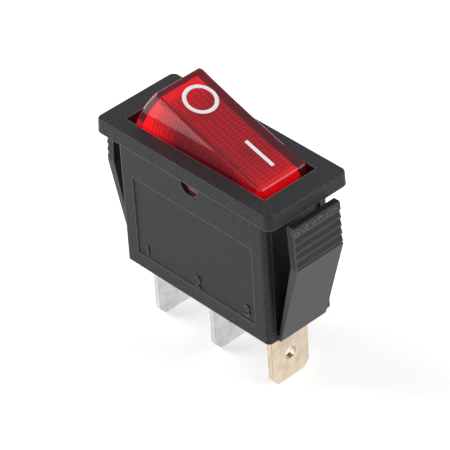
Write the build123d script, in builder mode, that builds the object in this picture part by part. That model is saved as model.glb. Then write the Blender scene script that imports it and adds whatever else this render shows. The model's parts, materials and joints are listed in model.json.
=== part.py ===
from build123d import *
import math
import os

# Snap-in panel rocker switch, on and off, with a lit clear red rocker and three push-on tabs.
# Millimetres. The origin is the centre of the panel cut-out, in the plane of the panel's face
# that the bezel sits on. X runs along the switch, Y across it, and Z comes up out of the panel.
# The switch is drawn switched on: the rocker's +X end is down and the contacts are closed.

os.makedirs("parts", exist_ok=True)

# Bezel
bezel_length = 31.0
bezel_width = 13.4
bezel_thickness = 2.0
bezel_flare = 0.1
bezel_corner_radius = 1.0
bezel_edge_radius = 0.25

# Housing body
body_length = 26.2
body_width = 11.0
body_depth = 19.7
body_corner_radius = 0.7
side_wall = 1.15
end_wall = 1.1
floor_thickness = 2.0
opening_step_length = 0.4
opening_step_depth = 0.4
panel_recess_end = 2.4
panel_recess_top = 5.7
panel_recess_bottom = 2.0
panel_recess_depth = 0.15

# Snap wings, one at each end of the housing
wing_width = 7.9
wing_top_drop = 0.5
wing_top_reach = 3.7
wing_top_thickness = 1.2
wing_knee_drop = 6.7
wing_knee_reach = 4.05
wing_knee_thickness = 1.15
wing_root_thickness = 0.45
wing_foot_height = 0.8
wing_tip_radius = 0.3
wing_rib_count = 5
wing_rib_pitch = 1.17
wing_rib_depth = 0.22
wing_plain_band = 1.25
wing_pocket_depth = 0.4
wing_side_gap = 0.25

# Rocker
pivot_drop = 1.5
rocker_tilt = 17.5
rocker_height = 7.15
rocker_end_gap = 0.45
rocker_end_radius = 23.0
rocker_skirt_depth = 2.2
rocker_side_gap = 0.13
rocker_side_draft = 0.34
rocker_dish = 0.25
rocker_top_wall = 1.3
rocker_wall = 0.9
rocker_corner_bevel = 0.3
rocker_edge_bevel = 0.15
trunnion_radius = 1.5
trunnion_clearance = 0.05
trunnion_recess = 0.4
stop_clearance = 0.05
stop_ledge_width = 2.2
stop_ledge_height = 1.0

# Sprung plunger in the rocker
plunger_diameter = 2.8
plunger_top_drop = 0.97
plunger_wall = 0.3
plunger_clearance = 0.05
plunger_tip_gap = 0.05
guide_wall = 0.85
guide_to_tip = 3.37
spring_seat_height = 4.2
lead_slot_width = 0.7
lead_groove_web = 0.35
lead_groove_clearance = 0.1

# Contact lever on the middle terminal
fulcrum_height = 5.0
lever_ratio = 0.5
lever_thickness = 0.5
lever_width = 6.2
lever_groove_depth = 0.15
lever_seat_clearance = 0.03
lever_rim_margin = 3.5
lever_bend_radius = 0.5
lever_contact_from_tab = 1.7
lever_end_margin = 1.5
lever_end_from_spring = 2.4
lever_ear_height = 1.5
lever_ear_width = 0.8
lever_ear_gap = 0.15
lever_rest_gap = 0.05
lever_rest_length = 1.0

# Contact rivets
rivet_radius = 1.3
rivet_shank_radius = 0.7
moving_head_height = 0.7
moving_dome_height = 0.25
moving_tail_height = 0.3
moving_tail_radius = 1.0
fixed_head_height = 0.6
fixed_head_bevel = 0.15
contact_gap = 0.03

# Terminals
tab_wall_gap = 1.1
tab_width = 6.3
tab_thickness = 0.8
tab_reach = 9.6
tab_corner_across = 1.0
tab_corner_up = 1.15
tab_edge_bevel = 0.12
tab_hole_radius = 0.9
tab_hole_from_end = 4.0
tab_bend_radius = 0.2
tab_slot_clearance = 0.05
shelf_end_margin = 0.3
shelf_rest_gap = 0.15
shoulder_width = 7.3
shoulder_height = 1.1
middle_seat_height = 2.7
middle_seat_length = 4.2

# Neon lamp and its resistor, carried in the rocker
lamp_radius = 1.5
lamp_end_gap = 0.36
lamp_wall = 0.35
lamp_pinch_length = 1.0
lamp_tip_steps = 3
lamp_from_guide = 1.3
electrode_radius = 0.3
electrode_end_gap = 1.6
electrode_spacing = 1.2
lead_radius = 0.2
lead_joint_gap = 0.03
lead_bend_radius = 0.3
resistor_radius = 0.9
resistor_waist_radius = 0.75
resistor_end_gap = 1.1
resistor_cap_share = 0.24
resistor_bevel = 0.15
resistor_from_guide = 1.3

# Coil springs
spring_steps = 12
spring_wire_sides = 6
lead_wire_sides = 8
spring_seat_clearance = 0.02
plunger_spring_radius = 0.85
plunger_spring_wire = 0.28
plunger_spring_turns = 8
lamp_spring_radius = 1.05
lamp_spring_wire = 0.3
lamp_spring_turns = 7
lamp_spring_from_tab = 1.5
lamp_spring_gap = 0.25
spring_rib_thickness = 1.0
spring_rib_drop = 0.3
spring_peg_radius = 0.6
spring_peg_length = 0.8
shelf_peg_height = 0.5

# Worked out from the sizes above
pivot_z = -pivot_drop
fulcrum_drop = body_depth - floor_thickness - fulcrum_height
fulcrum_z = -fulcrum_drop
middle_seat_drop = body_depth - floor_thickness - middle_seat_height
lever_tilt = lever_ratio * rocker_tilt
cavity_length = body_length - 2 * end_wall
cavity_width = body_width - 2 * side_wall
cavity_floor = floor_thickness - body_depth
opening_length = cavity_length + 2 * opening_step_length
panel_recess_length = body_length - 2 * panel_recess_end
panel_recess_height = body_depth - panel_recess_top - panel_recess_bottom
rocker_foot_length = cavity_length - 2 * rocker_end_gap
rocker_width = cavity_width - 2 * rocker_side_gap
wing_knee_x = body_length / 2 + wing_knee_reach
wing_top_x = body_length / 2 + wing_top_reach
tab_pitch = cavity_length / 2 - tab_thickness / 2 - tab_wall_gap
tab_bottom = -body_depth - tab_reach
tab_hole_z = tab_bottom + tab_hole_from_end
lever_contact_arm = tab_pitch - lever_contact_from_tab
lamp_spring_arm = tab_pitch - lamp_spring_from_tab
lever_rest_arm = lamp_spring_arm - lever_end_from_spring


def turned(x, z, tilt):
    """Where a point (x, z) goes when it is turned tilt degrees about Y, +X end down."""
    angle = math.radians(tilt)
    return (x * math.cos(angle) + z * math.sin(angle), z * math.cos(angle) - x * math.sin(angle))


def side_plane(z, tilt, y=0):
    """Plane to draw a side view on, through (0, y, z), turned tilt degrees with +X down."""
    along = turned(1, 0, tilt)
    return Plane(origin=(0, y, z), x_dir=(along[0], 0, along[1]), z_dir=(0, -1, 0))


def level_plane(z, tilt, height):
    """Plane to draw a plan view on, height above the turning point (0, z), turned the same way."""
    along = turned(1, 0, tilt)
    up = turned(0, 1, tilt)
    centre = (up[0] * height, 0, z + up[1] * height)
    return Plane(origin=centre, x_dir=(along[0], 0, along[1]), z_dir=(up[0], 0, up[1]))


def section_plane(z, tilt, x):
    """Plane to draw a cross-section on, x along a piece from the turning point (0, z)."""
    along = turned(1, 0, tilt)
    centre = (along[0] * x, 0, z + along[1] * x)
    return Plane(origin=centre, x_dir=(0, 1, 0), z_dir=(along[0], 0, along[1]))


# Lever geometry, in the lever's own frame with its origin on the fulcrum's axis.
# The lever turns against the rocker, and its saddle follows the plunger's tip all the way,
# so the saddle's radius comes from the tip's path: one point at mid travel and one at the end.
tip_radius = plunger_diameter / 2
crown_radius = tab_thickness / 2
lever_under = crown_radius + lever_seat_clearance - lever_groove_depth
lever_top = lever_under + lever_thickness
tip_mid_height = lever_top + plunger_tip_gap + tip_radius
tip_reach = fulcrum_drop - pivot_drop - tip_mid_height
guide_depth = tip_reach - guide_to_tip
tip_rest = turned(0, -tip_reach, rocker_tilt)
tip_end = turned(tip_rest[0], tip_rest[1] + fulcrum_drop - pivot_drop, lever_tilt)
tip_rise = tip_end[1] - tip_mid_height
path_radius = (tip_end[0] ** 2 + tip_rise**2) / (2 * tip_rise)
saddle_radius = path_radius + tip_radius + plunger_tip_gap
saddle_centre = lever_top + saddle_radius
saddle_angle = math.degrees(math.asin(-tip_end[0] / path_radius)) + lever_rim_margin
arm_under = (
    saddle_centre
    - (saddle_radius + lever_thickness) * math.cos(math.radians(saddle_angle))
    + lever_bend_radius * (1 - math.cos(math.radians(saddle_angle)))
)
moving_face = arm_under - moving_head_height - moving_dome_height
dome_radius = (rivet_radius**2 + moving_dome_height**2) / (2 * moving_dome_height)
dome_centre = turned(-lever_contact_arm, moving_face + dome_radius, -lever_tilt)
fixed_contact_x = turned(-lever_contact_arm, moving_face, -lever_tilt)[0]
shelf_top = fulcrum_z + dome_centre[1] - dome_radius - contact_gap - fixed_head_height
shelf_under = shelf_top - tab_thickness
lamp_seat = turned(lamp_spring_arm, -spring_rib_drop - 2 * lead_radius, rocker_tilt)
lamp_spring_x = lamp_seat[0]
lamp_spring_top = pivot_z + lamp_seat[1] - lamp_spring_gap
contact_shelf_end = fixed_contact_x + rivet_radius + shelf_end_margin
lamp_shelf_end = lamp_spring_x - lamp_spring_radius - shelf_end_margin
stop_corner = turned(rocker_foot_length / 2, -rocker_skirt_depth, rocker_tilt)
stop_ledge_top = pivot_z + stop_corner[1] - stop_clearance
lever_rest = turned(lever_rest_arm, arm_under, lever_tilt)
lever_rest_top = fulcrum_z + lever_rest[1] - lever_rest_gap


# Housing: bezel, body and both snap wings are one black moulding
def wing_outline():
    """Side view of the +X snap wing as a list of points, from its foot up and back down."""
    knee = (wing_knee_x, -wing_knee_drop)
    top = (wing_top_x, -wing_top_drop)
    lean = (top[0] - knee[0]) / (top[1] - knee[1])
    points = [
        (body_length / 2 - wing_pocket_depth - wing_foot_height, -body_depth),
        (body_length / 2 + wing_root_thickness, -body_depth),
        knee,
    ]
    for rib in reversed(range(wing_rib_count)):
        low = top[1] - wing_plain_band - rib * wing_rib_pitch
        low_x = top[0] + lean * (low - top[1])
        points.append((low_x - wing_rib_depth, low - wing_rib_depth))
        points.append((low_x, low))
    points += [
        top,
        (top[0] - wing_top_thickness, top[1]),
        (knee[0] - wing_knee_thickness, knee[1] + wing_rib_depth),
        (body_length / 2 + wing_rib_depth, wing_foot_height - body_depth),
        (body_length / 2 - wing_pocket_depth - wing_foot_height, wing_foot_height - body_depth),
    ]
    return points


with BuildPart() as wing:
    with BuildSketch(Plane.XZ):
        with BuildLine():
            Polyline(*wing_outline(), close=True)
        make_face()
    extrude(amount=wing_width / 2, both=True)
    top_edges = wing.edges().filter_by(Axis.Y).group_by(Axis.Z)[-1]
    fillet(top_edges, wing_tip_radius)

with BuildPart() as housing:
    with BuildSketch():
        RectangleRounded(body_length, body_width, body_corner_radius)
    extrude(amount=-body_depth)
    with BuildSketch():
        RectangleRounded(
            bezel_length + 2 * bezel_flare, bezel_width + 2 * bezel_flare, bezel_corner_radius
        )
    extrude(amount=bezel_thickness, taper=math.degrees(math.atan(bezel_flare / bezel_thickness)))
    fillet(housing.faces().sort_by(Axis.Z)[-1].edges(), bezel_edge_radius)
    with BuildSketch(Plane.XY.offset(bezel_thickness)):
        Rectangle(opening_length, cavity_width)
    extrude(amount=-bezel_thickness - opening_step_depth, mode=Mode.SUBTRACT)
    with BuildSketch():
        Rectangle(cavity_length, cavity_width)
    extrude(amount=cavity_floor, mode=Mode.SUBTRACT)

    # Pockets in the end walls that the wings fold into, and the wings
    pocket_height = body_depth - wing_foot_height
    for end in (-1, 1):
        pocket_centre = end * (body_length - wing_pocket_depth) / 2
        with BuildSketch(Plane((pocket_centre, 0, 0))):
            Rectangle(wing_pocket_depth, wing_width + 2 * wing_side_gap)
        extrude(amount=-pocket_height, mode=Mode.SUBTRACT)
    add(wing.part)
    add(wing.part.mirror(Plane.YZ))

    # Shallow recessed panel on the front face
    with BuildSketch(Plane((0, -body_width / 2, 0), x_dir=(1, 0, 0), z_dir=(0, -1, 0))):
        with Locations((0, -panel_recess_top - panel_recess_height / 2)):
            Rectangle(panel_recess_length, panel_recess_height)
    extrude(amount=-panel_recess_depth, mode=Mode.SUBTRACT)

    # Pivot holes through both side walls
    with BuildSketch(Plane.XZ):
        with Locations((0, pivot_z)):
            Circle(trunnion_radius + trunnion_clearance)
    extrude(amount=body_width / 2, both=True, mode=Mode.SUBTRACT)

    # Ledges that the rocker's skirt stops on
    for end in (-1, 1):
        ledge_centre = end * (cavity_length - stop_ledge_width) / 2
        with BuildSketch(Plane((ledge_centre, 0, stop_ledge_top))):
            Rectangle(stop_ledge_width, cavity_width)
        extrude(amount=-stop_ledge_height)

    # Raised seats in the floor for the three terminals, and the wall that the lever rests on
    for near, far, top in (
        (-cavity_length / 2, contact_shelf_end, shelf_under),
        (-middle_seat_length / 2, middle_seat_length / 2, -middle_seat_drop),
        (lever_rest[0], cavity_length / 2, shelf_under),
        (lever_rest[0] - lever_rest_length, lamp_shelf_end - shelf_rest_gap, lever_rest_top),
    ):
        with BuildSketch(Plane(((near + far) / 2, 0, cavity_floor))):
            Rectangle(far - near, cavity_width)
        extrude(amount=top - cavity_floor)

    # Slots for the three blades
    with BuildSketch(Plane.XY.offset(-body_depth)):
        with GridLocations(tab_pitch, 0, 3, 1):
            Rectangle(tab_thickness + 2 * tab_slot_clearance, tab_width + 2 * tab_slot_clearance)
    extrude(amount=shelf_under + body_depth, mode=Mode.SUBTRACT)
    for end in (-1, 1):
        with BuildSketch(Plane((end * (tab_pitch - crown_radius), 0, shelf_under))):
            Rectangle(2 * tab_bend_radius, tab_width + 2 * tab_slot_clearance)
        extrude(amount=-tab_bend_radius, mode=Mode.SUBTRACT)
housing.part.label = "housing"
export_step(housing.part, "parts/housing.step")


# Rocker: one clear red moulding with its trunnions and the plunger's guide tube
rocker_side = side_plane(pivot_z, rocker_tilt)
rocker_axis = Axis((0, 0, pivot_z), rocker_side.y_dir)
plunger_radius = plunger_diameter / 2
guide_bore = plunger_radius + plunger_clearance
guide_outer = guide_bore + guide_wall
lead_height = spring_seat_height - lead_radius
back_lead_y = guide_bore + lead_groove_web + lead_groove_clearance + lead_radius


def end_reach(height, inset):
    """How far along the rocker its bulged end, or that end's inner face, lies at a height."""
    rise = height + rocker_skirt_depth
    bulge = math.sqrt((rocker_end_radius - inset) ** 2 - rise**2)
    return rocker_foot_length / 2 - rocker_end_radius + bulge


def rocker_side_face(inset, top_drop, extra_depth):
    """Side view of the rocker: dished top, bulged ends and a level lower edge."""
    top = rocker_height - top_drop
    foot = -rocker_skirt_depth - extra_depth
    top_corner = (end_reach(top, inset), top)
    middle = (end_reach((top + foot) / 2, inset), (top + foot) / 2)
    foot_corner = (end_reach(foot, inset), foot)
    with BuildSketch(rocker_side) as face:
        with BuildLine():
            ThreePointArc((-top_corner[0], top), (0, top - rocker_dish), top_corner)
            ThreePointArc(top_corner, middle, foot_corner)
            Line(foot_corner, (-foot_corner[0], foot))
            ThreePointArc((-foot_corner[0], foot), (-middle[0], middle[1]), (-top_corner[0], top))
        make_face()
    return face.sketch


def rocker_section_face(inset, extra_depth):
    """Cross-section of the rocker, whose sides lean in towards the top."""
    low = rocker_width / 2 - inset
    high = low - rocker_side_draft
    foot = -rocker_skirt_depth - extra_depth
    with BuildSketch(section_plane(pivot_z, rocker_tilt, 0)) as face:
        with BuildLine():
            Polyline((-low, foot), (-high, rocker_height), (high, rocker_height), (low, foot), close=True)
        make_face()
    return face.sketch


def in_rocker(shape):
    """Centre of a face or edge in the rocker's side view: X along, Y up, Z towards the front."""
    return rocker_side.to_local_coords(shape.center())


with BuildPart() as rocker_core:
    extrude(rocker_side_face(rocker_wall, rocker_top_wall, rocker_wall), amount=rocker_width, both=True)
    section = rocker_section_face(rocker_wall, rocker_wall)
    extrude(section, amount=rocker_foot_length, both=True, mode=Mode.INTERSECT)

with BuildPart() as rocker:
    extrude(rocker_side_face(0, 0, 0), amount=rocker_width, both=True)
    extrude(rocker_section_face(0, 0), amount=rocker_foot_length, both=True, mode=Mode.INTERSECT)
    side_edges = rocker.edges().filter_by(
        lambda edge: abs(in_rocker(edge).Z) > rocker_width / 2 - rocker_side_draft - rocker_wall
    )
    corner_start = end_reach(rocker_height, 0) + rocker_edge_bevel
    corners = side_edges.filter_by(lambda edge: abs(in_rocker(edge).X) > corner_start)
    chamfer(corners, rocker_corner_bevel)
    top_face = rocker.faces().sort_by(rocker_axis)[-1]
    chamfer(top_face.edges(), rocker_edge_bevel)
    with BuildSketch(rocker_side):
        Circle(trunnion_radius)
    extrude(amount=body_width / 2 - trunnion_recess, both=True)
    add(rocker_core.part, mode=Mode.SUBTRACT)

    # Guide tube for the plunger, open along one side for the lamp's lead
    with BuildSketch(level_plane(pivot_z, rocker_tilt, -guide_depth)):
        Circle(guide_outer)
    extrude(amount=guide_depth + rocker_height - rocker_dish - rocker_top_wall / 2)
    with BuildSketch(level_plane(pivot_z, rocker_tilt, -guide_depth)):
        Circle(guide_bore)
    extrude(amount=guide_depth + spring_seat_height, mode=Mode.SUBTRACT)
    with BuildSketch(level_plane(pivot_z, rocker_tilt, -guide_depth)):
        with Locations((-guide_outer / 2, 0)):
            Rectangle(guide_outer, lead_slot_width)
    extrude(amount=guide_depth + spring_seat_height, mode=Mode.SUBTRACT)

    # Groove in the guide tube's back for the lamp's other lead
    with BuildSketch(section_plane(pivot_z, rocker_tilt, 0)):
        with Locations((back_lead_y, lead_height)):
            Rectangle(2 * (lead_radius + lead_groove_clearance), lead_slot_width)
    extrude(amount=guide_outer + 2 * lead_radius, both=True, mode=Mode.SUBTRACT)

    # Rib and peg that the lamp spring pushes on
    rib_height = rocker_height - rocker_dish - rocker_top_wall / 2 + spring_rib_drop
    with BuildSketch(level_plane(pivot_z, rocker_tilt, -spring_rib_drop)):
        with Locations((lamp_spring_arm, 0)):
            Rectangle(spring_rib_thickness, rocker_width - 2 * rocker_side_draft - rocker_wall)
    extrude(amount=rib_height)
    with BuildSketch(level_plane(pivot_z, rocker_tilt, -spring_rib_drop)):
        with Locations((lamp_spring_arm, 0)):
            Circle(spring_peg_radius)
    extrude(amount=-spring_peg_length)
rocker.part.label = "rocker"
export_step(rocker.part, "parts/rocker.step")


# Plunger: a drawn brass thimble with a round tip that rides in the lever's saddle
thimble_floor = -tip_reach - plunger_wall / 2
with BuildPart() as plunger:
    with BuildSketch(rocker_side):
        with BuildLine():
            inner = plunger_radius - plunger_wall
            Polyline(
                (0, -tip_reach - tip_radius),
                (0, thimble_floor),
                (inner, thimble_floor),
                (inner, -plunger_top_drop),
                (plunger_radius, -plunger_top_drop),
                (plunger_radius, -tip_reach),
            )
            ThreePointArc(
                (plunger_radius, -tip_reach),
                (tip_radius * math.sin(math.pi / 4), -tip_reach - tip_radius * math.cos(math.pi / 4)),
                (0, -tip_reach - tip_radius),
            )
        make_face()
    revolve(axis=rocker_axis)
plunger.part.label = "plunger"
export_step(plunger.part, "parts/plunger.step")


# Coil springs, drawn as a wire of short straight lengths along the helix

def helix_points(radius, height, turns):
    """Points along a helix that starts at height 0 and climbs to height."""
    steps = spring_steps * turns
    points = []
    for step in range(steps + 1):
        angle = 2 * math.pi * step / spring_steps
        points.append((radius * math.cos(angle), radius * math.sin(angle), height * step / steps))
    return points


def coil(plane, radius, wire, height, turns):
    """A coil spring whose wire stands on plane and climbs along its normal."""
    rise = height - wire
    points = [plane.from_local_coords((x, y, z + wire / 2)) for x, y, z in helix_points(radius, rise, turns)]
    with BuildPart() as spring:
        with BuildLine() as line:
            Polyline(*points)
        path = line.wires()[0]
        with BuildSketch(Plane(origin=path @ 0, z_dir=path % 0)):
            RegularPolygon(wire / 2, spring_wire_sides)
        sweep(path=path, transition=Transition.RIGHT)
    return spring.part


spring_foot = thimble_floor + spring_seat_clearance
spring_head = spring_seat_height - 2 * lead_radius - spring_seat_clearance
plunger_spring = coil(
    level_plane(pivot_z, rocker_tilt, spring_foot),
    plunger_spring_radius,
    plunger_spring_wire,
    spring_head - spring_foot,
    plunger_spring_turns,
)
plunger_spring.label = "plunger_spring"
export_step(plunger_spring, "parts/plunger_spring.step")

lamp_spring_foot = shelf_top + spring_seat_clearance
lamp_spring = coil(
    Plane((lamp_spring_x, 0, lamp_spring_foot)),
    lamp_spring_radius,
    lamp_spring_wire,
    lamp_spring_top - lamp_spring_foot,
    lamp_spring_turns,
)
lamp_spring.label = "lamp_spring"
export_step(lamp_spring, "parts/lamp_spring.step")


# Contact lever: a bent copper strip that rocks on the middle terminal
lever_side = side_plane(fulcrum_z, -lever_tilt)
lever_left = -lever_contact_arm - lever_end_margin
lever_right = lever_rest_arm
lever_waist = tab_width / 2 - lever_ear_width - lever_ear_gap
notch_half = crown_radius + lever_ear_height * math.sin(math.radians(lever_tilt)) + lever_ear_gap


def draw_lever_line(lift):
    """Side view of one face of the strip, lift above its lower face."""
    crest_out = saddle_radius + lever_thickness + lever_bend_radius
    crest_x = crest_out * math.sin(math.radians(saddle_angle))
    crest_z = saddle_centre - crest_out * math.cos(math.radians(saddle_angle))
    crest = lever_bend_radius + lift
    saddle = saddle_radius + lever_thickness - lift
    Line((lever_left, arm_under + lift), (-crest_x, arm_under + lift))
    CenterArc((-crest_x, crest_z), crest, 90, -saddle_angle)
    CenterArc((0, saddle_centre), saddle, 270 - saddle_angle, 2 * saddle_angle)
    CenterArc((crest_x, crest_z), crest, 90 + saddle_angle, -saddle_angle)
    Line((crest_x, arm_under + lift), (lever_right, arm_under + lift))


with BuildPart() as contact_lever:
    with BuildSketch(lever_side):
        with BuildLine():
            draw_lever_line(0)
            draw_lever_line(lever_thickness)
            for end in (lever_left, lever_right):
                Line((end, arm_under), (end, arm_under + lever_thickness))
        make_face()
    extrude(amount=lever_width / 2, both=True)
    with BuildSketch(lever_side):
        Circle(crown_radius + lever_seat_clearance)
    extrude(amount=lever_width, both=True, mode=Mode.SUBTRACT)
    with BuildSketch(level_plane(fulcrum_z, -lever_tilt, 0)):
        for side in (-1, 1):
            with Locations((0, side * (lever_waist + lever_width / 2))):
                Rectangle(2 * notch_half, lever_width)
    extrude(amount=lever_top + saddle_radius / 2, mode=Mode.SUBTRACT)
    with BuildSketch(level_plane(fulcrum_z, -lever_tilt, arm_under)):
        with Locations((-lever_contact_arm, 0)):
            Circle(rivet_shank_radius)
    extrude(amount=lever_thickness, mode=Mode.SUBTRACT)
contact_lever.part.label = "contact_lever"
export_step(contact_lever.part, "parts/contact_lever.step")

# Moving contact: a silver rivet with a domed head, headed over on top of the lever
with BuildPart() as moving_contact:
    with BuildSketch(lever_side):
        with BuildLine():
            head_low = arm_under - moving_head_height
            dome_edge = (rivet_radius - lever_contact_arm, head_low)
            dome_side = (
                -lever_contact_arm + rivet_radius / 2,
                moving_face + dome_radius - math.sqrt(dome_radius**2 - rivet_radius**2 / 4),
            )
            ThreePointArc((-lever_contact_arm, moving_face), dome_side, dome_edge)
            Polyline(
                dome_edge,
                (rivet_radius - lever_contact_arm, arm_under),
                (rivet_shank_radius - lever_contact_arm, arm_under),
                (rivet_shank_radius - lever_contact_arm, arm_under + lever_thickness),
                (moving_tail_radius - lever_contact_arm, arm_under + lever_thickness),
                (moving_tail_radius - lever_contact_arm, arm_under + lever_thickness + moving_tail_height),
                (-lever_contact_arm, arm_under + lever_thickness + moving_tail_height),
                (-lever_contact_arm, moving_face),
            )
        make_face()
    revolve(axis=Axis(lever_side.from_local_coords((-lever_contact_arm, 0, 0)), lever_side.y_dir))
moving_contact.part.label = "moving_contact"
export_step(moving_contact.part, "parts/moving_contact.step")

# Fixed contact: a flat silver rivet set in terminal 1
with BuildPart() as fixed_contact:
    with BuildSketch(Plane((fixed_contact_x, 0, shelf_top))):
        Circle(rivet_radius)
    extrude(amount=fixed_head_height)
    chamfer(fixed_contact.edges().group_by(Axis.Z)[-1], fixed_head_bevel)
    with BuildSketch(Plane((fixed_contact_x, 0, shelf_under))):
        Circle(rivet_shank_radius)
    extrude(amount=tab_thickness)
fixed_contact.part.label = "fixed_contact"
export_step(fixed_contact.part, "parts/fixed_contact.step")


# Terminals: three flat push-on tabs, the end ones bent over inside to make a shelf
def blade_face(top):
    """A blade seen along X, up to height top: its hole, and lower corners cut off for lead-in."""
    half = tab_width / 2
    low = tab_bottom + tab_corner_up
    with BuildSketch(Plane.YZ) as face:
        with BuildLine():
            Polyline(
                (-half, top),
                (-half, low),
                (tab_corner_across - half, tab_bottom),
                (half - tab_corner_across, tab_bottom),
                (half, low),
                (half, top),
                close=True,
            )
        make_face()
        with Locations((0, tab_hole_z)):
            Circle(tab_hole_radius, mode=Mode.SUBTRACT)
    return face.sketch


def bevel_tip(blade):
    """Bevel the two lowest edges of the blade that is being built."""
    chamfer(blade.faces().sort_by(Axis.Z)[0].edges().filter_by(Axis.Y), tab_edge_bevel)


def bent_terminal(end, shelf_end):
    """A blade at the end of the switch (-1 or 1) whose top is bent inwards to a shelf."""
    outer = end * (tab_pitch + crown_radius)
    inner = end * (tab_pitch - crown_radius)
    with BuildPart() as blade:
        with BuildSketch(Plane.XZ):
            with BuildLine():
                FilletPolyline(
                    (outer, tab_bottom), (outer, shelf_top), (shelf_end, shelf_top),
                    radius=tab_bend_radius + tab_thickness,
                )
                Line((shelf_end, shelf_top), (shelf_end, shelf_under))
                FilletPolyline(
                    (shelf_end, shelf_under), (inner, shelf_under), (inner, tab_bottom),
                    radius=tab_bend_radius,
                )
                Line((inner, tab_bottom), (outer, tab_bottom))
            make_face()
        extrude(amount=tab_width / 2, both=True)
        extrude(blade_face(shelf_top), amount=body_length, both=True, mode=Mode.INTERSECT)
        bevel_tip(blade)
    return blade.part


with BuildPart() as terminal_1:
    add(bent_terminal(-1, contact_shelf_end))
    with BuildSketch(Plane((fixed_contact_x, 0, shelf_under))):
        Circle(rivet_shank_radius)
    extrude(amount=tab_thickness, mode=Mode.SUBTRACT)
terminal_1.part.label = "terminal_1"
export_step(terminal_1.part, "parts/terminal_1.step")

with BuildPart() as terminal_3:
    add(bent_terminal(1, lamp_shelf_end))
    with BuildSketch(Plane((lamp_spring_x, 0, shelf_top))):
        Circle(spring_peg_radius)
    extrude(amount=shelf_peg_height)
terminal_3.part.label = "terminal_3"
export_step(terminal_3.part, "parts/terminal_3.step")

# The middle terminal stands on its shoulders and carries the lever between two ears
ear_inner = lever_waist + lever_ear_gap
with BuildPart() as terminal_2:
    extrude(blade_face(fulcrum_z), amount=tab_thickness / 2, both=True)
    with BuildSketch(Plane.YZ):
        with Locations((0, shoulder_height / 2 - middle_seat_drop)):
            Rectangle(shoulder_width, shoulder_height)
        for side in (-1, 1):
            with Locations((side * (ear_inner + tab_width / 2) / 2, fulcrum_z + lever_ear_height / 2)):
                Rectangle(tab_width / 2 - ear_inner, lever_ear_height)
    extrude(amount=tab_thickness / 2, both=True)
    with BuildSketch(Plane((0, 0, fulcrum_z), x_dir=(1, 0, 0), z_dir=(0, -1, 0))):
        Circle(crown_radius)
    extrude(amount=ear_inner, both=True)
    bevel_tip(terminal_2)
terminal_2.part.label = "terminal_2"
export_step(terminal_2.part, "parts/terminal_2.step")


# Neon lamp in the rocker's O half: a glass envelope and two electrodes on their leads
pinch_x = -guide_outer - lamp_from_guide
lamp_tip_x = lamp_end_gap - end_reach(lead_height, rocker_wall)
electrode_length = pinch_x - lamp_tip_x - lamp_pinch_length - electrode_end_gap
lamp_axis = Axis(rocker_side.from_local_coords((0, lead_height, 0)), rocker_side.x_dir)


with BuildPart() as lamp_glass:
    with BuildSketch(rocker_side):
        with BuildLine():
            outline = [(lamp_tip_x, lead_height), (pinch_x, lead_height)]
            outline.append((pinch_x, lead_height + lamp_radius))
            for step in range(lamp_tip_steps):
                angle = math.pi / 2 * (1 - step / lamp_tip_steps)
                along = lamp_tip_x + lamp_radius * (1 - math.cos(angle))
                outline.append((along, lead_height + lamp_radius * math.sin(angle)))
            Polyline(*outline, close=True)
        make_face()
    revolve(axis=lamp_axis)
    inner_radius = lamp_radius - lamp_wall
    with BuildSketch(rocker_side):
        with BuildLine():
            Polyline(
                (pinch_x - lamp_pinch_length, lead_height),
                (pinch_x - lamp_pinch_length, lead_height + inner_radius),
                (lamp_tip_x + lamp_radius, lead_height + inner_radius),
                (lamp_tip_x + lamp_wall, lead_height + inner_radius / 2),
                (lamp_tip_x + lamp_wall, lead_height),
                close=True,
            )
        make_face()
    revolve(axis=lamp_axis, mode=Mode.SUBTRACT)
    with BuildSketch(section_plane(pivot_z, rocker_tilt, pinch_x)):
        for side in (-1, 1):
            with Locations((side * electrode_spacing / 2, lead_height)):
                Circle(lead_radius)
    extrude(amount=-lamp_pinch_length, mode=Mode.SUBTRACT)
lamp_glass.part.label = "lamp_glass"
export_step(lamp_glass.part, "parts/lamp_glass.step")


def wire(points):
    """Round wire through points given in the rocker's own frame: along, to the back and up."""
    route = [rocker_side.from_local_coords((x, z, -y)) for x, y, z in points]
    with BuildPart() as lead:
        with BuildLine() as line:
            FilletPolyline(*route, radius=lead_bend_radius)
        path = line.wires()[0]
        with BuildSketch(Plane(origin=path @ 0, z_dir=path % 0)):
            RegularPolygon(lead_radius, lead_wire_sides)
        sweep(path=path)
    return lead.part


def lamp_lead(side, points):
    """An electrode with its lead: side is -1 at the front and 1 at the back."""
    y = side * electrode_spacing / 2
    with BuildPart() as lead:
        add(wire([(pinch_x - lamp_pinch_length, y, lead_height)] + points))
        with BuildSketch(section_plane(pivot_z, rocker_tilt, pinch_x - lamp_pinch_length)):
            with Locations((y, lead_height)):
                RegularPolygon(electrode_radius, lead_wire_sides)
        extrude(amount=-electrode_length)
    return lead.part


lead_out = pinch_x + lead_bend_radius * 1.5
guide_front = -guide_outer - lead_bend_radius / 2
lamp_lead_front = lamp_lead(
    -1,
    [
        (lead_out, -electrode_spacing / 2, lead_height),
        (guide_front, 0, lead_height),
        (plunger_spring_radius, 0, lead_height),
    ],
)
lamp_lead_front.label = "lamp_lead_front"
export_step(lamp_lead_front, "parts/lamp_lead_front.step")

# The back lead passes the guide tube and meets the resistor's near lead
drop_x = lamp_spring_arm - spring_rib_thickness / 2 - 2 * lead_radius
resistor_near = guide_outer + resistor_from_guide
resistor_far = drop_x - resistor_end_gap
joint_x = (guide_outer + resistor_near) / 2
lamp_lead_back = lamp_lead(
    1,
    [
        (lead_out, electrode_spacing / 2, lead_height),
        (-guide_outer, back_lead_y, lead_height),
        (guide_outer, back_lead_y, lead_height),
        (joint_x, 2 * lead_radius + lead_joint_gap, lead_height),
    ],
)
lamp_lead_back.label = "lamp_lead_back"
export_step(lamp_lead_back, "parts/lamp_lead_back.step")

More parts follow.
